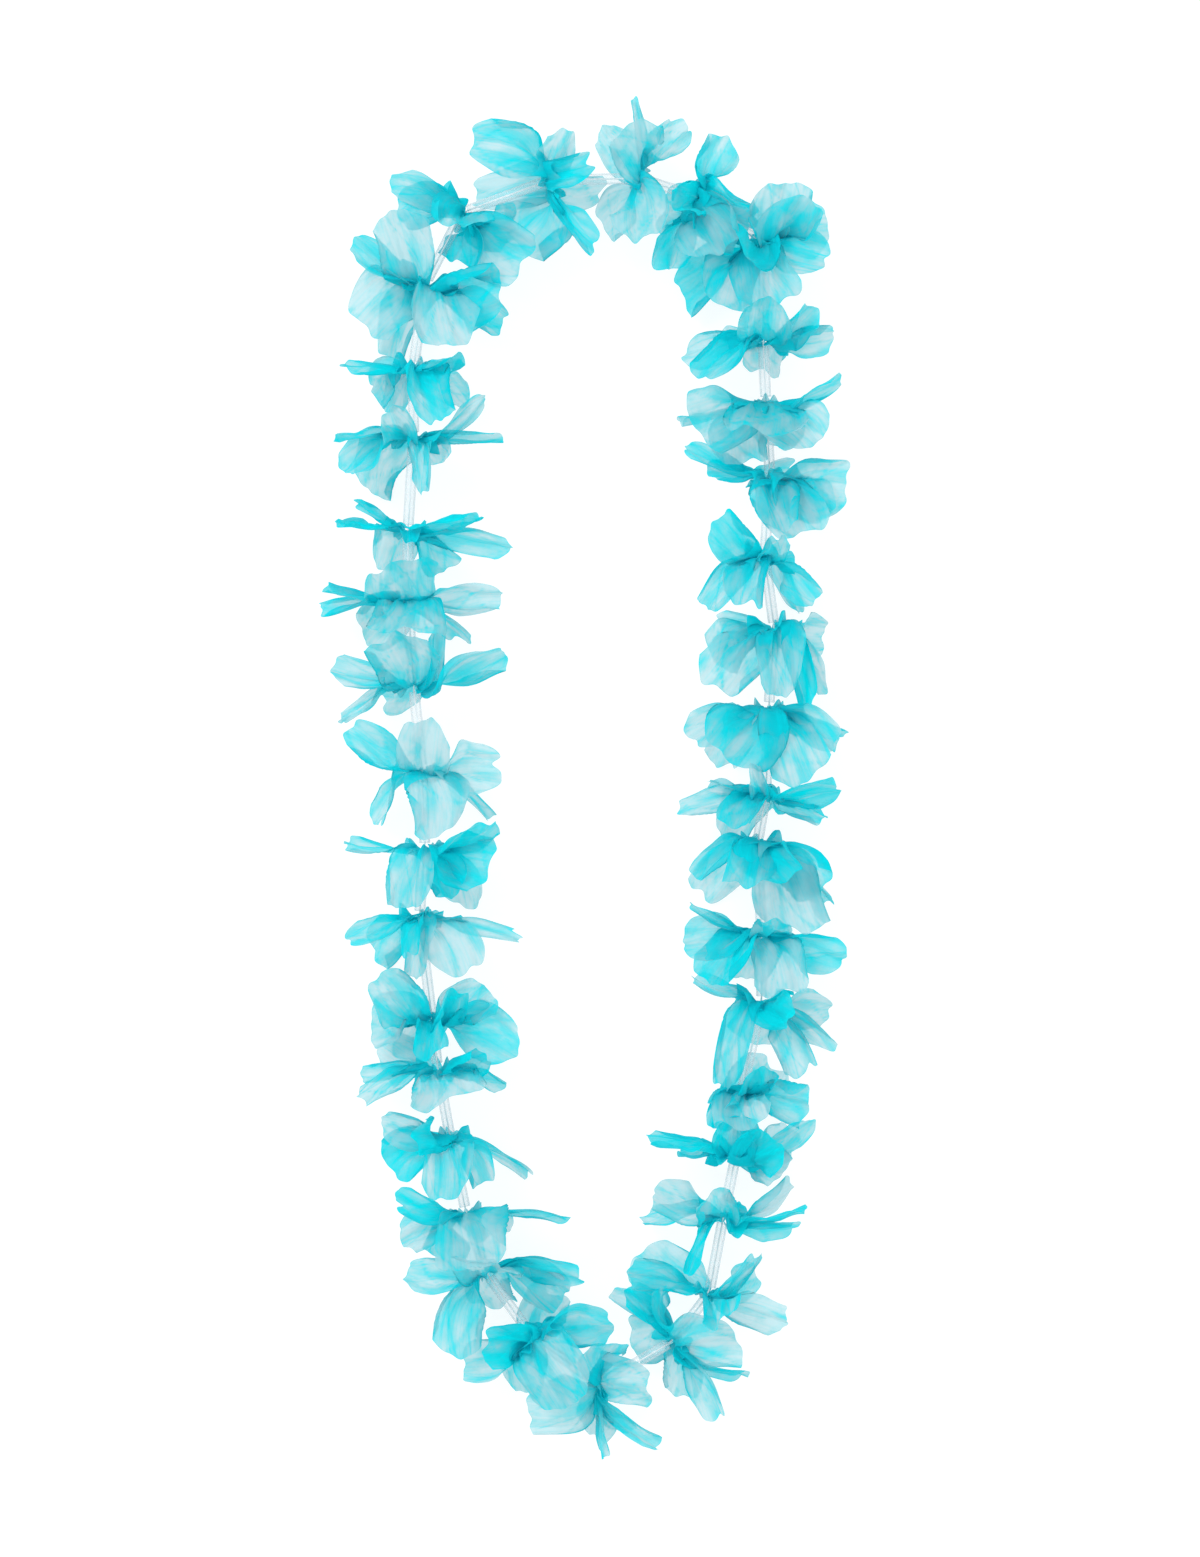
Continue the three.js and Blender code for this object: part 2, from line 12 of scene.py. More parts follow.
import bpy
import numpy as np
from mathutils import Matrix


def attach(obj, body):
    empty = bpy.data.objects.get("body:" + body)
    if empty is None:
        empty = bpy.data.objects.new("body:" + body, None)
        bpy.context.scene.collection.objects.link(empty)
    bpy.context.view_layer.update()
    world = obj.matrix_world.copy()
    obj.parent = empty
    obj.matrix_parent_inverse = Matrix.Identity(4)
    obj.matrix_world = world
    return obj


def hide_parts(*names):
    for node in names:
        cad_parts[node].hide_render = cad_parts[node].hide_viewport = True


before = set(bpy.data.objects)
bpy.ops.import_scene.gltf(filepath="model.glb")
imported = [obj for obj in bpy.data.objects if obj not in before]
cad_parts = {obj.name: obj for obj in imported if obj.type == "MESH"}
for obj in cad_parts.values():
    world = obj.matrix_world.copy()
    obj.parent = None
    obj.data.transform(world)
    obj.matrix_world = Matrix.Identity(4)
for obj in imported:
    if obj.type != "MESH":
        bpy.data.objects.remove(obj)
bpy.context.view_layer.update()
MM = 0.001
UP = np.array([0.0, 0.0, 1.0])

# The camera looks straight down. The picture is 548 mm tall where the thread lies.
PICTURE_HEIGHT = 548.0
PICTURE_CENTRE = (5.6, -0.2)
CAMERA_ABOVE = 2000.0   # the thread
THREAD_HEIGHT = 20.0
SENSOR = 36.0
CLIP_END = 50           # in metres

# Light and floor, in metres and watts: each light's name, place, size and power
LIGHTS = [("key", (-1.1, 1.0, 1.6), 0.8, 20), ("fill", (1.3, -0.9, 1.5), 1.2, 7)]
STUDIO_LIGHT = 0.98     # from all round
TABLE_GLOW = 1.10
FLOOR_HALF = 3.0

# Petals
ROWS = 24
COLUMNS = 43
ROOT_RADIUS = 2.6       # from the thread's middle to a petal's root
ROOT_HALF_WIDTH = 2.2
LEAVES_SQUARE = 0.25    # how far, of its length, a petal leaves the thread squarely
TIP_HANDLE = 0.3        # and how far its tip lies straight
TIP_STARTS = 0.85       # where along a petal its tip's own direction is taken
SHOULDER = 0.28         # how much shorter a petal's sides are than its middle
FULLNESS = 0.43         # how slowly a petal widens from its root; less is fuller
NOTCHED = 0.3           # the share of petals with a notch in the rim
ROLLED_FROM = 150       # a petal curled by this many degrees or more is a roll with a flared rim
CRUMPLES = 4            # straight folds in each petal
CREASE_WIDTH = 0.10
OFF_FLOOR = 0.15        # the least height of a petal

# The gathered middle of a flower, and the cloth between its petals
CUFF_RADIUS = 4.5       # of the loosest flower
CUFF_GROWS = 5          # and how much more the fullest one's has
CUFF_HOLE = 0.8
CUFF_RINGS = 12
CUFF_SIDES = 97
WEB_ROWS = 14           # how many of a petal's rows the cloth between the petals joins
WEB_ACROSS = [0.08, 0.2, 0.35, 0.5, 0.65, 0.8, 0.92]
WEB_OFF_FLOOR = 0.2
NOTCH_SPREAD = 28       # petals this far apart are cut from each other almost to their roots

# Straws, thread and knot
STRAW_RADIUS = 1.95
STRAW_BORE = 1.6        # its radius
STRAW_SIDES = 28
STRAW_LIP = 0.12        # the rounding of its cut ends
STRAW_TO_FLOWER = 2.2
THREAD_RADIUS = 0.3
THREAD_SIDES = 8
THREAD_SPACING = 0.5    # from ring to ring
THREAD_PITCH = 2.0      # of its two plies' twist
KNOT_PLACE = 1.45       # from the middle of the first flower
KNOT_SIZE = 0.32
KNOT_RINGS = 72

# Every flower in order along the thread: where its middle is, how much cloth is gathered
# there, from 0 to 1, and its petals, each as
# (tip x, tip y, both from the flower's middle; the tip's height; width; the blade's turn about
# its spine, 0 when it faces up; curl across the blade; depth of dye from 0, pale, to 1).
FLOWERS = [
    ((-12, 210.5, 20), 0.6, [
        (-27, 13, 30, 21, 5, 30, 0.5), (-27, -4, 4, 16, 35, 0, 0.2), (-10, -24, 14, 24, 5, 20, 0.4),
        (15.5, -25, 37, 10, 20, 200, 0.8), (7, 15, 43, 13, 25, 30, 0.3),
        (18, -3, 0.5, 14, 20, 0, 0.1), (15, 6, 38, 10, 30, 60, 0.8),
    ]),
    ((-43, 199, 20), 1, [
        (-24, 8, 34, 16, 35, 20, 0.5), (-22, -2, 26, 17, 25, 20, 0.6),
        (22, -20, 34, 24, 5, 20, 0.4), (-2, -18, 22, 18, 30, 20, 1), (2, -8, 46, 22, 0, 60, 0.6),
        (18, -5, 10, 20, 30, 0, 0.6),
    ]),
    ((-56, 173.5, 20), 1, [
        (-11, 24, 36, 20, 0, 20, 0.1), (-25, 15, 22, 17, 50, 20, 0.7),
        (-23, -13, 18, 24, 0, 20, 0.1), (27, -2, 32, 24, 10, 30, 0.7),
        (10, -23, 38, 21, 0, 20, 0.2), (28, -13, 14, 16, 20, 20, 0.6),
        (-14, -23, 0.5, 15, 15, 20, 0.2),
    ]),
    ((-60, 144.5, 20), 0.6, [
        (-25, 1, 24, 12, 70, 20, 0.7), (-15, -9, 15, 20, 45, 20, 0.4), (16, 3, 32, 15, 78, 20, 0.8),
        (14, -13, 0.5, 18, 30, 20, 0.3), (11, -20, 37, 16, 20, 60, 0.7),
        (-7, -15, 6, 13, 20, 20, 0.3),
    ]),
    ((-60, 119.5, 20), 0.6, [
        (-27, -2, 26, 18, 80, 30, 0.6), (-25, -11, 18, 18, 30, 40, 0.6),
        (-9, 9, 38, 12, 20, 20, 0.4), (-17, -17, 0.5, 20, 15, 20, 0.2),
        (31, -1, 22, 12, 82, 20, 0.6), (25, 15, 31, 8, 40, 150, 0.4), (3, -20, 32, 8, 30, 120, 0.4),
        (8, -9, 20, 12, 30, 20, 0.3),
    ]),
    ((-62, 87, 20), 0.7, [
        (-25, 2, 25, 15, 80, 40, 1), (-18, 9, 38, 5, 40, 200, 0.9), (25, 4, 33, 13, 80, 50, 1),
        (36, -5, 20, 11, 40, 60, 0.5), (-9, -13, 0.5, 18, 20, 0, 0.1),
        (14, -14, 11, 14, 30, 40, 0.6),
    ]),
    ((-62, 62, 20), 0.15, [
        (-29, 5, 24, 14, 72, 60, 0.7), (-31, -2, 17, 14, 65, 40, 0.6),
        (-17, -12, 0.5, 18, 30, 20, 0.1), (-3, 13, 44, 27, 0, 30, 0.4),
        (33, 1, 20, 15, 45, 30, 0.1), (-3, -12, 46, 26, 0, 30, 0.3),
        (21, -14, 12, 13, 50, 120, 0.4),
    ]),
    ((-60, 32.5, 20), 0.2, [
        (-29, 3.5, 25, 15, 50, 40, 0.4), (-8, 17, 42, 22, 0, 40, 0.3), (9, 21, 33, 9, 30, 150, 0.7),
        (32, 12, 28, 16, 40, 40, 0.6), (-10, -4, 0.5, 12, 20, 20, 0.2),
        (-25, -13, 13, 7, 45, 90, 0.3),
    ]),
    ((-57, 2.5, 20), 0.1, [
        (-26, 14.5, 24, 13, 25, 60, 0.6), (3, 18, 42, 18, 0, 0, 0), (28, 0.5, 28, 19, 0, 20, 0.1),
        (6, -23, 34, 21, 0, 20, 0.1), (-17, -19, 9, 12, 50, 90, 0.4),
        (24, -17, 0.5, 6, 40, 150, 0.4),
    ]),
    ((-56, -25, 20), 0.5, [
        (-28, 3, 20, 10, 60, 40, 0.5), (24, 9, 35, 16, 60, 60, 0.8), (23, -6, 28, 22, 5, 40, 0.8),
        (-6, -21, 32, 16, 25, 40, 0.4), (14, -22, 0.5, 16, 20, 20, 0.1),
        (10, -17, 21, 15, 30, 60, 0.9),
    ]),
    ((-58, -49, 20), 0.6, [
        (-25, -8, 28, 10, 30, 60, 0.5), (36, -7, 23, 7, 20, 60, 0.4), (16, -19, 32, 19, 0, 20, 0.1),
        (0, -21, 26, 13, 35, 30, 0.2), (-3, -12, 42, 9, 40, 150, 0.8),
        (-16, -14, 0.5, 15, 30, 60, 0.5),
    ]),
    ((-53.5, -85, 20), 0.7, [
        (-19, 16, 33, 17, 10, 30, 0.4), (-21, -2, 10, 18, 0, 20, 0.1),
        (19, 12, 30, 18, 10, 30, 0.3), (31, -9, 24, 21, 15, 40, 0.6),
        (-1, -12, 41, 14, 30, 150, 0.8), (8, 12, 41, 13, 40, 80, 0.8),
        (-12, -14, 0.5, 18, 20, 20, 0.2),
    ]),
    ((-51.5, -102.5, 20), 0.6, [
        (-26, -11, 30, 12, 50, 40, 0.3), (-21, 6, 3, 19, 0, 20, 0.1),
        (-27, -3, 14, 13, 50, 120, 0.4), (23, -7, 10, 10, 50, 60, 0.4),
        (17, 7, 33, 12, 40, 60, 0.9), (4, -9, 44, 26, 0, 20, 0.2),
    ]),
    ((-47, -127, 20), 0.6, [
        (-24, 6, 28, 11, 30, 20, 0.15), (-22, -9, 22, 17, 10, 60, 0.95),
        (0, -20, 41, 18, 0, 40, 0.5), (13, -15, 25, 15, 30, 40, 0.6),
        (28, -14.5, 0.5, 7, 40, 180, 0.4), (-12, 1, 40, 13, 20, 30, 1),
    ]),
    ((-41.5, -153, 20), 0.2, [
        (-25, 6, 33, 11, 30, 60, 0.9), (36, -2, 21, 6, 60, 60, 0.7), (-23, -9, 22, 17, 20, 30, 0.3),
        (7, -17, 44, 27, 0, 30, 0.1), (-9, -16, 18, 17, 20, 40, 0.7),
        (13, -8, 0.5, 18, 30, 20, 0.2),
    ]),
    ((-34.5, -174, 20), 0.1, [
        (-28, 1, 26, 14, 30, 30, 0.4), (33, -3, 30, 12, 40, 40, 0.8),
        (27, -10, 20, 16, 30, 30, 0.4), (-10, -29, 26, 18, 5, 30, 0.4),
        (5, -14, 0.5, 16, 20, 20, 0.1), (3, 6, 46, 24, 0, 20, 0.1),
    ]),
    ((-18, -197, 20), 0.9, [
        (-16, -1, 39, 16, 10, 40, 1), (-25, -10, 14, 16, 25, 40, 0.3),
        (28, 5.5, 30, 19, 35, 30, 0.7), (14, -21, 39, 25, 0, 30, 0.3),
        (6, 14, 0.5, 18, 20, 20, 0.3), (-4, -20, 6, 18, 20, 20, 0.2),
    ]),
    ((5.5, -213.5, 20), 0.6, [
        (-25, -8, 27, 19, 5, 20, 0.1), (-3, -18, 8, 16, 20, 20, 0.1), (1, -25, 27, 6, 40, 180, 0.5),
        (21.5, -20.5, 24, 10, 40, 60, 0.5), (11, -18, 0.5, 14, 40, 90, 0.3),
        (17, 3, 37, 19, 5, 30, 0.2), (4, 17, 34, 18, 30, 30, 0.6),
    ]),
    ((31.5, -198, 20), 0.6, [
        (-15.5, 19, 27, 12, 30, 40, 0.9), (-22, 15, 15, 12, 40, 100, 0.3),
        (-14, -2, 0.5, 18, 20, 20, 0.1), (2, -21, 8, 13, 20, 30, 0.2), (22, 2, 34, 21, 0, 20, 0.2),
        (15, -27, 24, 14, 40, 110, 0.3), (26, -12.5, 18, 9, 45, 150, 0.6),
        (-5.5, 20, 30, 10, 40, 60, 0.7),
    ]),
    ((44, -181.5, 20), 0.4, [
        (-24, 12, 0.5, 19, 20, 30, 0.2), (-28, 9, 30, 12, 35, 40, 0.6),
        (17, 15, 33, 9, 40, 140, 0.4), (17, 8, 9, 15, 45, 60, 0.3), (27, -10, 24, 12, 20, 20, 0.1),
        (3, -9, 44, 14, 20, 60, 0.6),
    ]),
    ((49, -154.5, 20), 1, [
        (-25, 9, 32, 14, 35, 30, 0.1), (-28, -2.5, 5, 10, 40, 120, 0.4),
        (-6, 10, 42, 16, 20, 40, 0.4), (29, 3, 25, 8, 70, 60, 0.6), (24, 12, 16, 10, 40, 40, 0.1),
        (27, -3, 12, 9, 60, 90, 0.6), (-12, -19.5, 34, 6, 40, 220, 1),
    ]),
    ((53.5, -132.5, 20), 0.9, [
        (-31, 6, 24, 18, 80, 30, 0.9), (-20, 1, 10, 9, 62, 60, 0.8), (27, 12, 29, 12, 45, 90, 0.4),
        (14, 6, 41, 18, 10, 60, 1), (22, 4, 0.5, 18, 20, 20, 0.1), (17, -6, 18, 15, 15, 20, 0.1),
        (3, 14, 40, 16, 10, 60, 0.9),
    ]),
    ((55.5, -110.5, 20), 0.5, [
        (11, 9, 0.5, 20, 10, 20, 0.1), (0, -11, 46, 19, 0, 30, 0.1), (23, -4, 31, 16, 30, 40, 0.6),
        (-10, -12, 29, 11, 10, 60, 1), (-8, -6, 35, 10, 30, 60, 0.6), (7, 8, 38, 12, 30, 60, 0.9),
    ]),
    ((62.5, -79, 20), 0.9, [
        (10, -4, 42, 16, 10, 80, 1), (-25, 8, 25, 8, 50, 50, 0.4), (24, -4, 21, 16, 20, 40, 0.2),
        (25, -15.5, 30, 11, 50, 60, 0.4), (15, -25, 26, 13, 25, 40, 0.3),
        (-2, -15, 0.5, 18, 15, 20, 0.2), (-14, -29.5, 30, 12, 30, 60, 0.4),
    ]),
    ((62.5, -56, 20), 0.5, [
        (-26.5, 11, 31, 5, 40, 180, 0.5), (-28, -1, 28, 20, 20, 40, 0.5),
        (29.5, -6, 27, 15, 35, 40, 0.8), (-18, -17, 34, 18, 25, 60, 0.9),
        (8.5, -19, 39, 19, 5, 20, 0.1), (-4, -17, 4, 16, 10, 20, 0.2), (3, 6, 44, 14, 10, 40, 0.6),
    ]),
    ((61, -23, 20), 0.6, [
        (17, -31, 33, 24, 0, 20, 0.1), (21, -18, 27, 18, 25, 40, 0.8),
        (-21.5, -13, 23, 12, 40, 40, 0.6), (-19, -19.5, 0.5, 17, 15, 20, 0.1),
        (27, -21, 15, 10, 40, 120, 0.4), (-4, -15, 44, 18, 5, 30, 0.6),
        (8, -13, 43, 19, 5, 30, 0.8),
    ]),
    ((64, -6, 20), 0.6, [
        (-20, 3, 22, 16, 80, 30, 0.5), (-31, -4.5, 19, 11, 40, 40, 0.3),
        (-6, 11, 43, 6, 20, 60, 0.3), (25, 3, 30, 17, 58, 50, 0.9), (21, -8, 17, 10, 45, 130, 0.6),
        (-14, -17, 0.5, 16, 15, 20, 0.1), (-11, -11, 36, 15, 40, 100, 0.6),
    ]),
    ((65, 24.5, 20), 0.4, [
        (-27, -11, 32, 16, 15, 20, 0.2), (-15, -16.5, 40, 28, 0, 30, 0.6),
        (12, -26, 36, 22, 0, 30, 0.4), (22, -14, 28, 13, 20, 20, 0.4),
        (-17, -21, 0.5, 15, 15, 20, 0.1), (27, -10, 10, 12, 50, 140, 0.7),
    ]),
    ((67, 52.5, 20), 0.9, [
        (-20, 0, 0.5, 15, 15, 20, 0.1), (-19, -13, 26, 17, 20, 30, 0.3),
        (-21, -21, 32, 20, 0, 20, 0.2), (3, -24, 35, 17, 5, 30, 0.4), (12, -27, 30, 9, 30, 90, 1),
        (18, -1, 8, 18, 15, 20, 0.2), (16.5, -23, 19, 10, 40, 60, 0.3),
    ]),
    ((63.5, 78, 20), 1, [
        (-17, 13, 33, 14, 5, 30, 0.8), (-20.5, -18.5, 27, 12, 15, 40, 0.5),
        (-7, -18, 35, 15, 10, 40, 0.5), (18, -16, 28, 13, 25, 40, 0.5),
        (12, -20, 0.5, 9, 40, 100, 0.5), (5, 6, 44, 9, 30, 60, 0.6),
    ]),
    ((65.5, 105, 20), 0.6, [
        (-31, 10.5, 28, 9, 40, 100, 0.7), (-22, 1, 22, 12, 50, 60, 0.8),
        (27, -3, 30, 21, 5, 20, 0.3), (9, -20, 37, 22, 5, 20, 0.3), (4, -18, 40, 15, 5, 20, 0.3),
        (9, 3, 0.5, 13, 20, 20, 0.3), (19, -14, 34, 18, 0, 30, 0.4),
    ]),
    ((64, 132, 20), 0.1, [
        (-24, -12, 34, 24, 5, 20, 0.3), (16, -15, 40, 23, 0, 30, 0.3),
        (-31, -6, 19, 12, 82, 40, 0.2), (26, 9, 26, 10, 45, 60, 0.6),
        (-9, -22, 27, 20, 10, 20, 0.2), (6, -15, 0.5, 18, 20, 20, 0.3),
        (-3, -12, 46, 28, 0, 20, 0.25),
    ]),
    ((63, 154, 20), 0.7, [
        (-22, -14, 27, 14, 25, 60, 0.8), (-14, 5, 5, 14, 30, 20, 0.1), (1, 13, 44, 18, 5, 40, 0.5),
        (17, 11, 35, 13, 40, 110, 0.6), (25, 3, 25, 13, 40, 40, 0.4),
        (1, -10, 0.5, 14, 20, 20, 0.1), (-28, -5, 15, 13, 30, 20, 0.2),
    ]),
    ((63.5, 187.5, 20), 1, [
        (7, 21, 33, 22, 0, 20, 0.2), (22, 10, 10, 21, 5, 20, 0.4), (14, 14, 41, 18, 10, 30, 0.5),
        (22, -6, 30, 19, 5, 30, 0.5), (-18, -20, 34, 22, 0, 30, 0.4),
        (-28, -16, 3, 19, 15, 30, 0.9), (2, -23, 36, 22, 0, 30, 0.4), (-8, -6, 46, 20, 0, 50, 0.9),
    ]),
    ((40, 204.5, 20), 0.6, [
        (9, 20, 32, 13, 5, 40, 0.6), (8, -21, 40, 22, 0, 30, 0.2), (-11, -26, 25, 17, 45, 40, 0.9),
        (22, -8, 25, 9, 50, 60, 0.9), (16, -14, 30, 16, 10, 30, 0.4),
        (-12, -5, 0.5, 17, 30, 20, 0.5), (-8, -6, 42, 14, 10, 60, 0.9),
    ]),
    ((19.5, 211, 20), 0.2, [
        (0, -24, 44, 20, 5, 20, 0.2), (-3, 15, 46, 20, 0, 20, 0.2), (-12, 20, 0.5, 17, 10, 20, 0.1),
        (-2, 27, 29, 5, 40, 120, 0.5), (16, 19, 27, 14, 30, 30, 0.3),
        (-13, -16, 13, 18, 10, 20, 0.1),
    ]),
]


def unit(v):
    return v / np.linalg.norm(v, axis=-1, keepdims=True)


def dot(a, b):
    return np.sum(a * b, axis=-1, keepdims=True)


def smooth(x):
    x = np.clip(x, 0, 1)
    return x * x * (3 - 2 * x)


def bump_at(x, width):
    """One at x = 0, falling away on both sides of it."""
    return np.exp(-(x / width)**2)


# ---------------------------------------------------------------- camera

def make_camera():
    data = bpy.data.cameras.new("camera")
    data.sensor_width = SENSOR
    data.lens = SENSOR * CAMERA_ABOVE / PICTURE_HEIGHT
    data.clip_end = CLIP_END
    camera = bpy.data.objects.new("camera", data)
    height = CAMERA_ABOVE + THREAD_HEIGHT
    camera.location = (PICTURE_CENTRE[0] * MM, PICTURE_CENTRE[1] * MM, height * MM)
    bpy.context.scene.collection.objects.link(camera)
    bpy.context.scene.camera = camera


# ---------------------------------------------------------------- the thread's route

HUBS = [np.array(hub, float) for hub, _, _ in FLOWERS]


def straw_ends():
    """(start, end, direction) of the straw after each flower."""
    ends = []
    for hub, following in zip(HUBS, HUBS[1:] + HUBS[:1]):
        along = unit(following - hub)
        ends.append((hub + along * STRAW_TO_FLOWER, following - along * STRAW_TO_FLOWER, along))
    return ends


STRAWS = straw_ends()


def collar(index):
    """The middle of a flower and the thread's direction through it."""
    before, after = STRAWS[index - 1][1], STRAWS[index][0]
    return (before + after) / 2, unit(after - before)


def square_to(along):
    """The level direction and the rising one that are square to the thread."""
    side = unit(np.cross(UP, along))
    return side, np.cross(along, side)


# ---------------------------------------------------------------- petals

def spine(middle, along, hub, shape):
    """The four control points of a petal's spine, and the direction in which it leaves."""
    tip = np.array([hub[0] + shape[0], hub[1] + shape[1], shape[2]])
    out = tip - middle
    out = unit(out - along * dot(out, along))
    root = middle + out * ROOT_RADIUS
    span = np.linalg.norm(tip - root)
    outer = root + out * LEAVES_SQUARE * span
    inner = tip - unit(tip - outer) * TIP_HANDLE * span
    return (root, outer, inner, tip), out


def along_spine(points, s):
    """Places and headings at the shares s of a spine."""
    s = s[..., None]
    r = 1 - s
    p0, p1, p2, p3 = points
    place = r**3 * p0 + 3 * r * r * s * p1 + 3 * r * s * s * p2 + s**3 * p3
    heading = r * r * (p1 - p0) + 2 * r * s * (p2 - p1) + s * s * (p3 - p2)
    return place, unit(heading)


def wave(v, rng, cycles):
    return np.sin(math.pi * cycles * v + rng.uniform(0, 2 * math.pi))


def crumples(u, v, rng):
    """Straight folds in random directions: how far they lift the cloth, and where they are."""
    lift, creases = 0, 0
    for _ in range(CRUMPLES):
        lean = rng.uniform(-1.2, 1.2)
        bowed = v + 0.15 * np.sin(4 * u + rng.uniform(0, 6))
        place = np.sin(rng.uniform(2.5, 5) * (bowed * math.cos(lean) + 1.6 * u * math.sin(lean))
                       + rng.uniform(0, 2 * math.pi))
        lift = lift + rng.uniform(-0.9, 0.9) * np.abs(place)
        creases = creases + rng.uniform(0.2, 1) * bump_at(place, CREASE_WIDTH)
    return lift * smooth(u / 0.3), creases * smooth(u / 0.4)


def rim_shares(u, v, rng):
    """How far along the spine each point lies. The rim is wavy, now and then notched, and a
    petal's sides are shorter than its middle."""
    scallop = 0.03 * wave(v, rng, rng.uniform(1.2, 2.4)) + 0.01 * wave(v, rng, rng.uniform(3.5, 5))
    if rng.random() < NOTCHED:
        deep = rng.uniform(0.04, 0.10)
        scallop = scallop - deep * bump_at(v - rng.uniform(-0.7, 0.7), 0.2)
    off_middle = np.abs(v - rng.uniform(-0.22, 0.22))
    s = u * (1 - rng.uniform(0.7, 1.2) * SHOULDER * off_middle**rng.uniform(2.4, 4.5))
    return s * (1 + scallop * u**2)


def blade_directions(points, s, heading, along, out, face):
    """Directions across the blade and off it, turning from the root's to the tip's, and
    whether the root's had to be turned round to meet the tip's."""
    _, late = along_spine(points, np.array([TIP_STARTS]))
    level = unit(np.cross(UP, late[0]))
    turn = math.radians(face)
    at_tip = math.cos(turn) * level + math.sin(turn) * np.cross(late[0], level)
    at_root = unit(np.cross(along, out))
    flipped = at_root @ at_tip < 0
    if flipped:
        at_root = -at_root
    turned = smooth(s * 1.5)[..., None]
    across = at_root * (1 - turned) + at_tip * turned
    across = unit(across - heading * dot(across, heading))
    return across, np.cross(heading, across), flipped


def pressed_pleats(u, v, width, rng):
    """The pleats pressed into the cloth: which side of one each point is on, from -1 to 1, how
    strong they are across the blade, and how steeply they make the cloth run."""
    pleats = rng.uniform(1.5, 2.7) * max(width / 18, 0.7)
    fold = rng.uniform(0, 2 * math.pi) + math.pi * pleats * (v + 0.12 * wave(v, rng, 1.3))
    ridge = np.tanh(2.6 * np.sin(fold))
    strength = 0.6 + 0.4 * wave(v, rng, rng.uniform(0.8, 1.8))
    depth = 0.65 * (1 - u)**1.3 + 0.42
    return ridge, strength, depth * strength * ridge


def fold_sides(steep, u, v, dye, rng):
    """Folds or curls the blade's two sides over, the deeply dyed ones more often, and says
    where the cloth turns over."""
    turned_over = 0
    for side in (-1, 1):
        chance = rng.random()
        way = rng.choice((-1, 1)) * side
        line = 1 - rng.uniform(0.16, 0.42) * smooth((u - rng.uniform(0, 0.45)) / 0.55)
        past = side * v - line
        if chance < 0.22 + 0.35 * dye:
            # A corner folded flat along a straight crease.
            folded = smooth(past / 0.07)
            steep = steep * (1 - folded) + rng.uniform(2.6, 2.95) * way * folded
            turned_over = turned_over + bump_at(past - 0.03, 0.05)
        elif chance < 0.4 + 0.45 * dye:
            # An edge that only curls.
            curls = smooth(past / 0.22)
            steep = steep + rng.uniform(1, 2.2) * way * curls
            turned_over = turned_over + 0.6 * curls
    return steep, turned_over


def reach_across(steep):
    """How far each row of cloth reaches sideways, where it runs as steeply as given."""
    way = np.cumsum(np.cos(steep), axis=1)
    return (way.max(axis=1) - way.min(axis=1))[:, None]


def lay_out(u, v, width, steep, curled, rng):
    """How far each point lies across the blade and off it, where the cloth runs as steeply as
    given. A blade that is only curled sets how wide it comes out."""
    half = ROOT_HALF_WIDTH * (1 - u) + width / 2 * (1 - (1 - u)**2)**FULLNESS
    step = half * 2 / (COLUMNS - 1) * reach_across(curled) / reach_across(steep)
    level_way = np.cumsum(np.cos(steep), axis=1) * step
    up_way = np.cumsum(np.sin(steep), axis=1) * step
    centre = slice(COLUMNS // 2, COLUMNS // 2 + 1)
    level_way = level_way - level_way[:, centre]
    ragged = np.sin(rng.uniform(3, 7) * u + 2.5 * np.sign(v) + rng.uniform(0, 6))
    level_way = level_way * (1 + 0.09 * u * ragged)
    level_way = level_way + rng.uniform(-1, 1) * 0.10 * width * np.sin(math.pi * u)
    return level_way, up_way - up_way[:, centre]


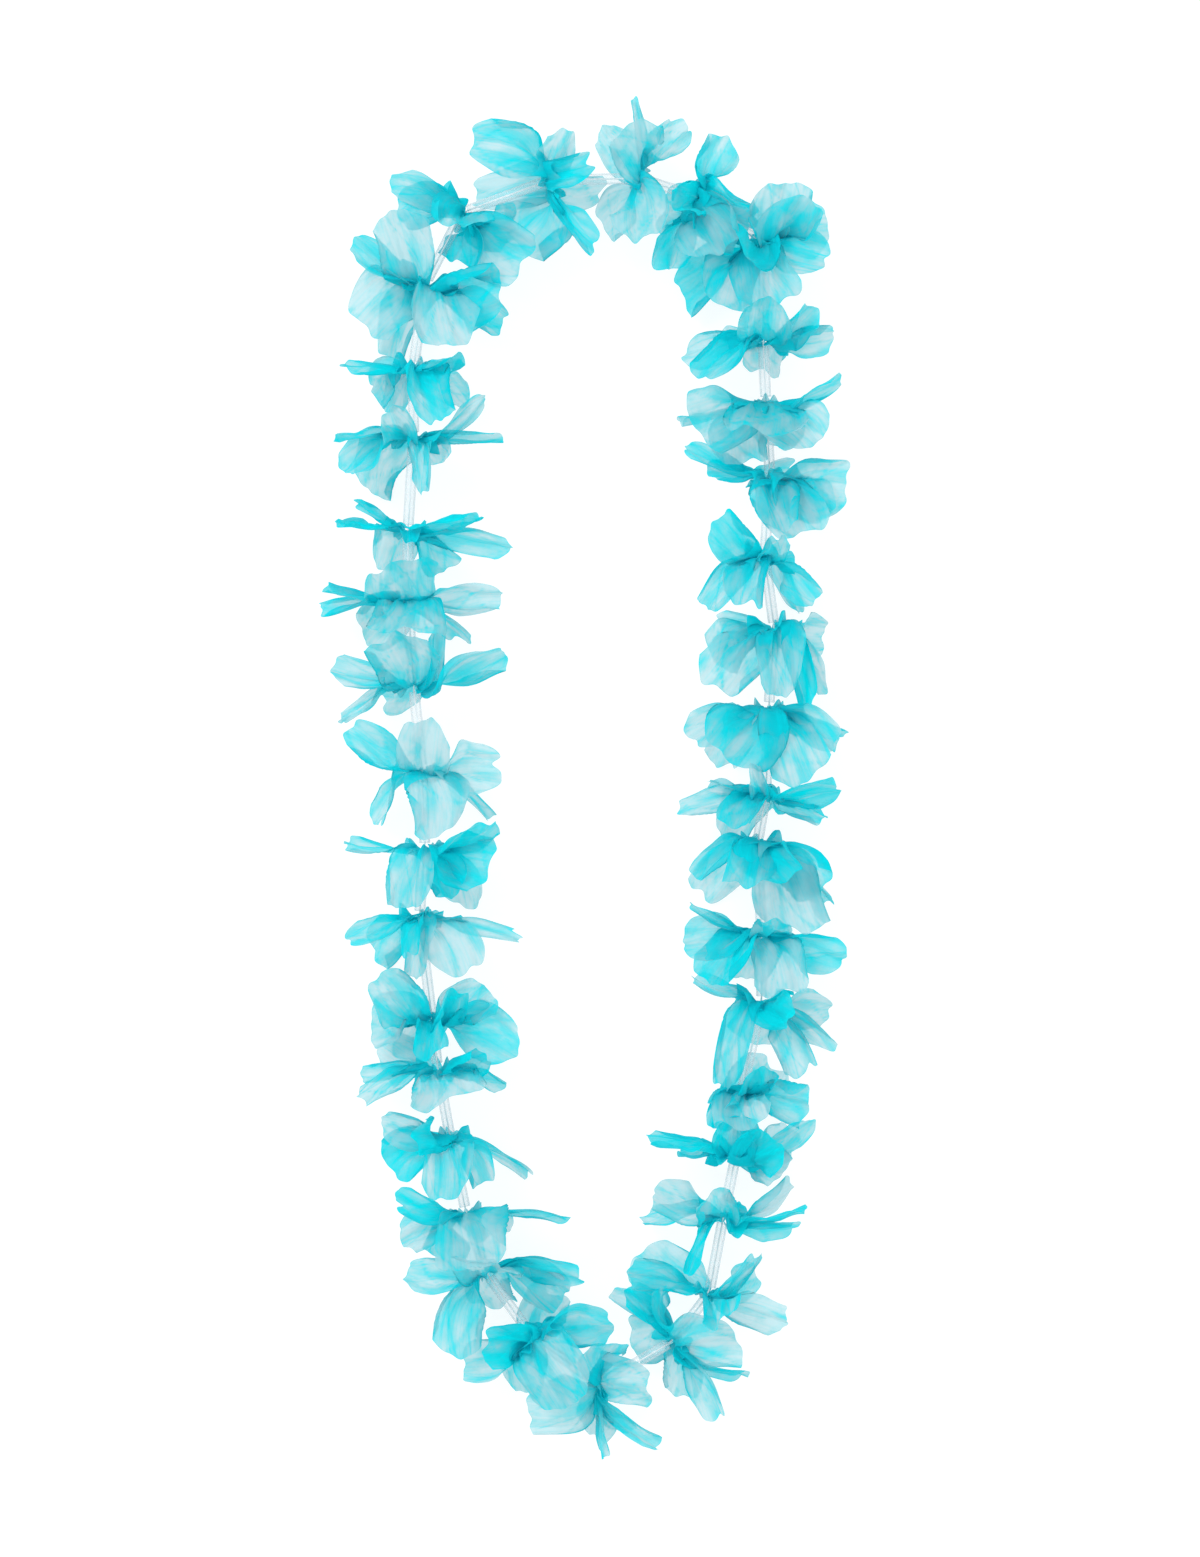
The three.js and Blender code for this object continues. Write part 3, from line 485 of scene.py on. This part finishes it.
def petal(middle, along, hub, shape, rng):
    """A petal's grid of points, the dye (with its painted light and shade) and the cloth
    coordinates at each, its angle round the thread, and whether its columns run the other way round
    it."""
    _, _, _, width, face, curl, dye = shape
    points, out = spine(middle, along, hub, shape)
    u = np.linspace(0, 1, ROWS)[:, None]
    v = np.linspace(-1, 1, COLUMNS)[None, :]
    s = rim_shares(u, v, rng)
    place, heading = along_spine(points, s)
    across, normal, flipped = blade_directions(points, s, heading, along, out, face)

    # How steeply the cloth runs at each place across it is the curl, the pressed pleats, the
    # finer crinkles and the folded sides, added up.
    opened = smooth((u - 0.65) / 0.35) * (0.6 if curl >= ROLLED_FROM else 0)
    curled = math.radians(curl) / 2 * v * (1 - opened)
    ridge, strength, pressed = pressed_pleats(u, v, width, rng)
    steep = curled + pressed + (0.10 + 0.2 * (1 - u)) * wave(v, rng, rng.uniform(7, 10))
    steep, turned_over = fold_sides(steep, u, v, dye, rng)
    level_way, up_way = lay_out(u, v, width, steep, curled, rng)

    # The cloth is crumpled, the rim flutters, and the blade is a little wavy along its length.
    lift, creases = crumples(u, v, rng)
    flutter = 1.0 * u**2.5 * wave(v, rng, rng.uniform(1.3, 2.4))
    sway = 0.5 * u * np.sin(math.pi * (2.2 * u + rng.uniform(0, 2)))
    up_way = up_way + lift + flutter + sway
    grid = place + across * level_way[..., None] + normal * up_way[..., None]
    grid[..., 2] = np.maximum(grid[..., 2], OFF_FLOOR + 0.1 * rng.random())

    # The dye is deep at the root, in pleats, creases and folds, and along the rim's cut edge.
    # Painted light and shade go over it: each pleat's plates are lighter on one side and darker on
    # the other and a little paler overall, and the cloth is deeper where it slopes steeply.
    pleat_lines = (1 - ridge**2)**2 * np.clip(strength + 0.1, 0, 1) * (1 - 0.35 * u)
    # Painted light and shade: one side of each pleat lighter, the other darker, and the plates a
    # little paler.
    painted_plate_shading = (0.1 * rng.choice((-1, 1)) * ridge - 0.06) * strength
    rim = np.exp(-(1 - np.abs(v)) / 0.05) + np.exp(-(1 - u) / 0.03)
    tint = 0.66 * dye - 0.07 + 0.55 * (1 - u)**2 + 0.22 * pleat_lines + 0.3 * creases + 0.07 * rim
    # The 1 - cos term is painted shade: the cloth is deeper where the pleats make it slope steeply.
    tint = tint + painted_plate_shading + 0.15 * (1 - np.cos(np.clip(pressed, -1.4, 1.4))) + 0.3 * turned_over
    tint = tint + 0.2 * wave(v, rng, 2.3) * wave(u, rng, 2.1)
    cloth = np.stack(np.broadcast_arrays(v * width / 20 + rng.uniform(0, 9), u * 3), axis=-1)
    angle = math.atan2(out @ UP, out @ np.cross(UP, along))
    return grid, np.clip(tint, 0, 1), cloth, angle, flipped


def cuff(middle, along, gathered, rng):
    """The crushed cloth in the middle of a flower, gathered round the thread."""
    r = np.linspace(0, 1, CUFF_RINGS)[:, None]
    a = np.linspace(0, 2 * math.pi, CUFF_SIDES)[None, :]
    side, rise = square_to(along)

    def lobes(count):
        return np.sin(count * a + rng.uniform(0, 6.3) + rng.uniform(-1, 1) * r)

    reach = CUFF_RADIUS + CUFF_GROWS * gathered
    reach = reach * (1 + 0.16 * lobes(2) + 0.12 * lobes(3) + 0.06 * lobes(7))
    radius = CUFF_HOLE + (reach - CUFF_HOLE) * r
    crushed = smooth((radius - 1.6) / 5)
    pleats = lobes(12)
    lift = crushed * (2.4 * lobes(rng.choice((2, 3))) + 1.5 * lobes(5)) * (0.6 + gathered)
    lift = lift + (0.2 + 0.7 * r) * pleats
    grid = middle + radius[..., None] * (np.cos(a)[..., None] * side + np.sin(a)[..., None] * rise)
    grid = grid + lift[..., None] * along
    tint = 0.3 + 0.6 * gathered - 0.25 * r + 0.25 * np.abs(pleats)**3 + 0.1 * lobes(4)
    cloth = np.stack(np.broadcast_arrays(a * 2 + 0 * r, r + 0 * a), axis=-1)
    return grid, np.clip(tint, 0, 1), cloth


class Sheet:
    """Cloth made of grids of points in millimetres, each point with its dye, which on the petals
    carries painted light and shade, and its cloth place.
    """

    def __init__(self):
        self.points, self.tints, self.cloths, self.faces = [], [], [], []
        self.count = 0

    def add(self, grid, tint, cloth):
        """Takes in a grid's points and gives back their numbers."""
        rows, columns = grid.shape[:2]
        index = self.count + np.arange(rows * columns).reshape(rows, columns)
        self.points.append(grid.reshape(-1, 3) * MM)
        self.tints.append(tint.reshape(-1))
        self.cloths.append(cloth.reshape(-1, 2))
        self.count += rows * columns
        return index

    def weave(self, index):
        """Spans faces over a grid of numbered points."""
        corners = (index[:-1, :-1], index[:-1, 1:], index[1:, 1:], index[1:, :-1])
        self.faces.append(np.stack(corners, axis=-1).reshape(-1, 4))

    def mesh(self, name):
        faces = np.concatenate(self.faces)
        mesh = bpy.data.meshes.new(name)
        mesh.from_pydata(np.concatenate(self.points).tolist(), [], faces.tolist())
        # The dye attribute carries the petals' painted light and shade along with their dye.
        dye = mesh.attributes.new("dye", "FLOAT", "POINT")
        dye.data.foreach_set("value", np.concatenate(self.tints))
        uv = mesh.uv_layers.new(name="cloth")
        uv.data.foreach_set("uv", np.concatenate(self.cloths)[faces.reshape(-1)].reshape(-1))
        mesh.shade_smooth()
        return mesh


def web(sheet, middle, along, first, second, rng):
    """The cloth between two neighbouring petals, from their roots to the notch of the cut."""
    edges, columns = [], []
    for (grid, tint, cloth, _, flipped), index, leading in (first + (True,), second + (False,)):
        column = -1 if leading != flipped else 0
        rows = slice(0, WEB_ROWS)
        edges.append(np.concatenate((grid[rows, column] - middle, tint[rows, column, None],
                                     cloth[rows, column]), axis=1))
        columns.append(index[rows, column])
    spread = np.linalg.norm(edges[0][-1, :3] - edges[1][-1, :3])
    notch = min(max(spread / NOTCH_SPREAD, 0.12), 0.85)
    row = np.arange(WEB_ROWS)
    ruffle = rng.uniform(0.5, 1.6) * rng.choice((-1, 1))
    inner = []
    for w in WEB_ACROSS:
        reach = row * (1 - notch * math.sin(math.pi * w)**0.7)
        a, b = (np.stack([np.interp(reach, row, edge[:, k]) for k in range(6)], axis=1)
                for edge in edges)
        mixed = (1 - w) * a + w * b
        length = (1 - w) * np.linalg.norm(a[:, :3], axis=1) + w * np.linalg.norm(b[:, :3], axis=1)
        mixed[:, :3] = unit(mixed[:, :3]) * length[:, None]
        swell = ruffle * math.sin(2 * math.pi * w) * reach / WEB_ROWS
        mixed[:, :3] += swell[:, None] * along + middle
        mixed[:, 2] = np.maximum(mixed[:, 2], WEB_OFF_FLOOR)
        streak = 0.25 * math.sin(7 * w) * rng.random()
        mixed[:, 3] = np.clip(mixed[:, 3] * 0.8 + 0.12 + streak, 0, 1)
        inner.append(mixed)
    inner = np.stack(inner, axis=1)
    index = sheet.add(inner[..., :3], inner[..., 3], inner[..., 4:])
    sheet.weave(np.concatenate((columns[0][:, None], index, columns[1][:, None]), axis=1))


def flower_mesh(name, number):
    """One flower's cloth: its gathered middle, its petals, and the webs from petal to petal."""
    middle, along = collar(number)
    sheet = Sheet()
    rng = random.Random(number)
    _, gathered, shapes = FLOWERS[number]
    sheet.weave(sheet.add(*cuff(middle, along, gathered, rng)))
    petals = []
    for count, shape in enumerate(shapes):
        made = petal(middle, along, HUBS[number], shape, random.Random(100 * number + count))
        index = sheet.add(*made[:3])
        sheet.weave(index)
        petals.append((made, index))
    petals.sort(key=lambda item: item[0][3])
    for first, second in zip(petals, petals[1:] + petals[:1]):
        web(sheet, middle, along, first, second, rng)
    return sheet.mesh(name)


# ---------------------------------------------------------------- straws and thread

def ring(centre, along, radius, sides, shape=None):
    """A ring of points; shape gives its radius' share at each angle, where it isn't round."""
    side, rise = square_to(along)
    a = np.arange(sides) * 2 * math.pi / sides
    reach = radius if shape is None else radius * shape(a)
    across = np.cos(a)[:, None] * side + np.sin(a)[:, None] * rise
    return centre + across * np.reshape(reach, (-1, 1))


def headings(line):
    """The direction of a closed line at each of its points."""
    return unit(np.roll(line, -1, axis=0) - np.roll(line, 1, axis=0))


def endless_mesh(name, rings):
    """A mesh whose rings follow each other and whose last ring meets its first."""
    points = np.array(rings)
    count, sides = points.shape[:2]
    index = np.arange(count * sides).reshape(count, sides)
    down, right = np.roll(index, -1, axis=0), np.roll(index, -1, axis=1)
    both = np.roll(down, -1, axis=1)
    faces = np.stack((index, right, both, down), axis=-1).reshape(-1, 4)
    mesh = bpy.data.meshes.new(name)
    mesh.from_pydata((points.reshape(-1, 3) * MM).tolist(), [], faces.tolist())
    mesh.shade_smooth()
    return mesh


def straw_mesh(name, start, end, along):
    """A hollow straw with softly rounded cut ends."""
    wall_middle = (STRAW_RADIUS + STRAW_BORE) / 2
    rings = [ring(start, along, wall_middle, STRAW_SIDES)]
    for radius, near, far in ((STRAW_RADIUS, start, end), (STRAW_BORE, end, start)):
        way = unit(far - near)
        for inset in (STRAW_LIP, 3 * STRAW_LIP):
            rings.append(ring(near + way * inset, along, radius, STRAW_SIDES))
        for inset in (3 * STRAW_LIP, STRAW_LIP):
            rings.append(ring(far - way * inset, along, radius, STRAW_SIDES))
        if far is end:
            rings.append(ring(end, along, wall_middle, STRAW_SIDES))
    return endless_mesh(name, rings)


def thread_mesh(name):
    """A two-ply twisted thread, once round through every straw and flower."""
    corners = np.array([point for start, end, _ in STRAWS for point in (start, end)])
    hops = np.linalg.norm(np.roll(corners, -1, axis=0) - corners, axis=1)
    reach = np.concatenate(([0], np.cumsum(hops)))
    count = round(reach[-1] / THREAD_SPACING)
    at = np.arange(count) * reach[-1] / count
    closed = np.vstack((corners, corners[:1]))
    line = np.stack([np.interp(at, reach, closed[:, k]) for k in range(3)], axis=1)
    turns = round(reach[-1] / THREAD_PITCH) / reach[-1]
    rings = []
    for place, way, distance in zip(line, headings(line), at):
        twist = 2 * math.pi * distance * turns
        rings.append(ring(place, way, THREAD_RADIUS, THREAD_SIDES,
                          lambda a: 0.9 + 0.12 * np.cos(2 * a - twist)))
    return endless_mesh(name, rings)


def knot_mesh(name):
    """An overhand knot in the same thread, pulled tight."""
    middle, along = collar(0)
    centre = middle + along * KNOT_PLACE
    side, rise = square_to(along)
    t = np.linspace(0, 2 * math.pi, KNOT_RINGS, endpoint=False)
    x = KNOT_SIZE * (np.sin(t) + 2 * np.sin(2 * t))
    y = KNOT_SIZE * (np.cos(t) - 2 * np.cos(2 * t))
    z = -KNOT_SIZE * 0.9 * np.sin(3 * t)
    line = centre + x[:, None] * side + y[:, None] * rise + z[:, None] * along
    rings = [ring(place, way, THREAD_RADIUS, THREAD_SIDES)
             for place, way in zip(line, headings(line))]
    return endless_mesh(name, rings)


# ---------------------------------------------------------------- materials

class Nodes:
    """A short way to write a material's nodes."""

    def __init__(self, name):
        self.material = bpy.data.materials.new(name)
        self.material.use_nodes = True
        self.tree = self.material.node_tree
        self.tree.nodes.clear()

    def add(self, kind, values=None, **settings):
        node = self.tree.nodes.new(kind)
        for key, value in settings.items():
            setattr(node, key, value)
        for socket, value in (values or {}).items():
            if isinstance(value, bpy.types.NodeSocket):
                self.tree.links.new(value, node.inputs[socket])
            else:
                node.inputs[socket].default_value = value
        return node

    def solid(self):
        """Places in the object itself, in metres."""
        return self.add("ShaderNodeTexCoord").outputs["Object"]

    def scaled(self, place, *scale):
        return self.add("ShaderNodeMapping", {"Vector": place, "Scale": scale}).outputs["Vector"]

    def noise(self, place, scale, detail, roughness=0.5):
        values = {"Vector": place, "Scale": scale, "Detail": detail, "Roughness": roughness}
        return self.add("ShaderNodeTexNoise", values).outputs["Fac"]

    def bump(self, height, strength, distance):
        values = {"Height": height, "Strength": strength, "Distance": distance}
        return self.add("ShaderNodeBump", values).outputs["Normal"]

    def math(self, operation, a, b=0.0, clamp=False):
        node = self.add("ShaderNodeMath", {0: a, 1: b}, operation=operation, use_clamp=clamp)
        return node.outputs[0]

    def range(self, value, low, high, to_low, to_high):
        values = {"Value": value, "From Min": low, "From Max": high,
                  "To Min": to_low, "To Max": to_high}
        return self.add("ShaderNodeMapRange", values).outputs["Result"]

    def ramp(self, value, *stops):
        node = self.add("ShaderNodeValToRGB", {"Fac": value})
        elements = node.color_ramp.elements
        while len(elements) < len(stops):
            elements.new(0.5)
        for element, (place, color) in zip(elements, stops):
            element.position = place
            element.color = (*color, 1)
        return node.outputs["Color"]

    def mix(self, share, first, second):
        """A shader that has the given share of the second one."""
        values = {"Fac": share, 1: first, 2: second}
        return self.add("ShaderNodeMixShader", values).outputs[0]

    def shader(self, kind, values=None):
        return self.add(f"ShaderNode{kind}", values).outputs[0]

    def finish(self, shader):
        self.add("ShaderNodeOutputMaterial", {"Surface": shader})
        return self.material


def cloth_material():
    """Thin dyed crepe: see-through where the dye is pale, denser in its creases and roots. The dye
    it reads carries the petals' painted light and shade, and its deepest colours are lightened as
    painted light in the flowers' middles.
    """
    n = Nodes("petal_cloth")
    dye = n.add("ShaderNodeAttribute", attribute_name="dye").outputs["Fac"]
    place = n.add("ShaderNodeUVMap", uv_map="cloth").outputs["UV"]
    solid = n.solid()

    # How deep the dye is: each point's own, with its painted light and shade, and with streaks,
    # blotches and thin pressed lines.
    stretched = n.scaled(place, 5, 0.8, 1)
    streaks = n.range(n.noise(stretched, 1.3, 3.0), 0.3, 0.7, -0.04, 0.04)
    blotches = n.range(n.noise(solid, 110.0, 4.0, 0.6), 0.35, 0.65, -0.12, 0.12)
    lines = n.noise(n.scaled(place, 5, 0.35, 1), 1.0, 1.0)
    pressed = n.range(n.math("ABSOLUTE", n.math("SUBTRACT", lines, 0.5)), 0.0, 0.07, 0.09, 0.0)
    depth = n.math("ADD", n.math("ADD", dye, streaks), blotches, clamp=True)
    depth = n.math("ADD", depth, pressed, clamp=True)
    # The deepest stops are lighter than the middle ones: painted light that brightens the crowded
    # middles of the flowers, where the deepest dye lies in shade.
    color = n.ramp(
        depth,
        (0.0, (0.41, 0.69, 0.74)),
        (0.25, (0.17, 0.66, 0.72)),
        (0.45, (0.045, 0.68, 0.75)),
        (0.65, (0.004, 0.69, 0.77)),
        (0.85, (0.0, 0.72, 0.79)),
        (1.0, (0.0, 0.77, 0.84)),
    )

    # The weave and the crinkles of the crepe.
    weave = n.math("MULTIPLY", n.noise(solid, 2400.0, 2.0, 0.6), 0.35)
    crepe = n.noise(stretched, 9.0, 4.0, 0.65)
    relief = n.bump(n.math("ADD", weave, crepe), 0.14, 0.0004)

    cloth = n.shader("BsdfPrincipled", {
        "Base Color": color,
        "Roughness": n.range(depth, 0, 1, 0.8, 0.6),
        "Sheen Weight": 0.04,
        "Sheen Roughness": 0.5,
        "Specular IOR Level": 0.08,
        "Normal": relief,
    })
    through = n.shader("BsdfTranslucent", {"Color": color, "Normal": relief})
    pale = n.math("POWER", n.math("SUBTRACT", 1.0, depth, clamp=True), 1.2)
    open_weave = n.math("MULTIPLY", pale, 0.28)
    lit = n.mix(0.5, cloth, through)
    return n.finish(n.mix(open_weave, lit, n.shader("BsdfTransparent")))


def straw_material():
    """Clear thin plastic: it shows more of itself, and is darker, where it is seen at a slant."""
    n = Nodes("clear_straw")
    cloud = n.noise(n.solid(), 60.0, 2.0)
    skin = n.shader("BsdfPrincipled", {
        "Base Color": n.ramp(cloud, (0.3, (0.86, 0.88, 0.90)), (0.7, (0.92, 0.93, 0.95))),
        "Roughness": n.range(cloud, 0.3, 0.7, 0.12, 0.22),
        "Coat Weight": 0.2,
    })
    clear = n.shader("BsdfTransparent", {"Color": (0.985, 0.988, 0.99, 1)})
    thick = n.shader("BsdfTransparent", {"Color": (0.76, 0.79, 0.82, 1)})
    slant = n.add("ShaderNodeLayerWeight", {"Blend": 0.5}).outputs["Facing"]
    wall = n.mix(n.range(slant, 0.35, 0.95, 0.0, 1.0), clear, thick)
    return n.finish(n.mix(n.range(slant, 0.2, 1.0, 0.10, 0.45), wall, skin))


def thread_material():
    """A dull pale thread with a fuzz of loose fibres."""
    n = Nodes("string")
    fuzz = n.noise(n.solid(), 1800.0, 4.0)
    return n.finish(n.shader("BsdfPrincipled", {
        "Base Color": n.ramp(fuzz, (0.3, (0.76, 0.78, 0.80)), (0.7, (0.84, 0.85, 0.86))),
        "Roughness": 0.8,
        "Sheen Weight": 0.1,
        "Normal": n.bump(fuzz, 0.2, 0.0002),
    }))


def floor_material():
    """A white table that glows a little, as a light table does."""
    n = Nodes("floor")
    grain = n.noise(n.solid(), 300.0, 2.0)
    white = n.shader("BsdfDiffuse", {
        "Color": n.ramp(grain, (0.3, (0.90, 0.90, 0.90)), (0.7, (0.93, 0.93, 0.93))),
    })
    glow = n.shader("Emission", {"Color": (1, 1, 1, 1), "Strength": TABLE_GLOW})
    return n.finish(n.mix(0.75, white, glow))


# ---------------------------------------------------------------- floor and light

def make_floor():
    half = FLOOR_HALF
    corners = [(-half, -half, 0), (half, -half, 0), (half, half, 0), (-half, half, 0)]
    mesh = bpy.data.meshes.new("floor")
    mesh.from_pydata(corners, [], [(0, 1, 2, 3)])
    mesh.materials.append(floor_material())
    floor = bpy.data.objects.new("floor", mesh)
    bpy.context.scene.collection.objects.link(floor)


def add_light(name, place, size, power):
    """A square soft light that faces the middle of the lei."""
    data = bpy.data.lights.new(name, "AREA")
    data.size = size
    data.energy = power
    light = bpy.data.objects.new(name, data)
    light.location = place
    x, y, z = place
    light.rotation_euler = (math.atan2(math.hypot(x, y), z), 0, math.atan2(x, -y))
    bpy.context.scene.collection.objects.link(light)


def light_the_scene():
    scene = bpy.context.scene
    scene.world = bpy.data.worlds.new("studio")
    scene.world.use_nodes = True
    background = scene.world.node_tree.nodes["Background"]
    background.inputs["Color"].default_value = (1, 1, 1, 1)
    background.inputs["Strength"].default_value = STUDIO_LIGHT
    for light in LIGHTS:
        add_light(*light)
    scene.view_settings.view_transform = "Standard"
    scene.cycles.transparent_max_bounces = 48
    scene.cycles.diffuse_bounces = 12
    scene.cycles.max_bounces = 24


# ---------------------------------------------------------------- all of it

def add_piece(name, mesh, material, slot, *nodes):
    """Puts a piece into the scene, in place of the named nodes of the frame."""
    piece = bpy.data.objects.new(name, mesh)
    mesh.materials.append(material)
    bpy.context.scene.collection.objects.link(piece)
    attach(piece, "root")
    if nodes:
        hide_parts(*nodes)
    return piece


make_camera()
light_the_scene()
make_floor()

cloth = cloth_material()
for index, (_, _, shapes) in enumerate(FLOWERS):
    label = f"{index + 1:02d}"
    name = f"cloth_flower_{label}"
    piece = add_piece(name, flower_mesh(name, index), cloth, "petal_cloth", f"flower_{label}")

plastic = straw_material()
for index, (start, end, along) in enumerate(STRAWS):
    name = f"straw_{index + 1:02d}"
    mesh = straw_mesh(name, start, end, along)
    add_piece(name, mesh, plastic, "clear_straw", f"spacer_tubes_{index // 2 + 1:02d}")

thread = thread_material()
add_piece("thread", thread_mesh("thread"), thread, "string", "string")
add_piece("knot", knot_mesh("knot"), thread, "string")
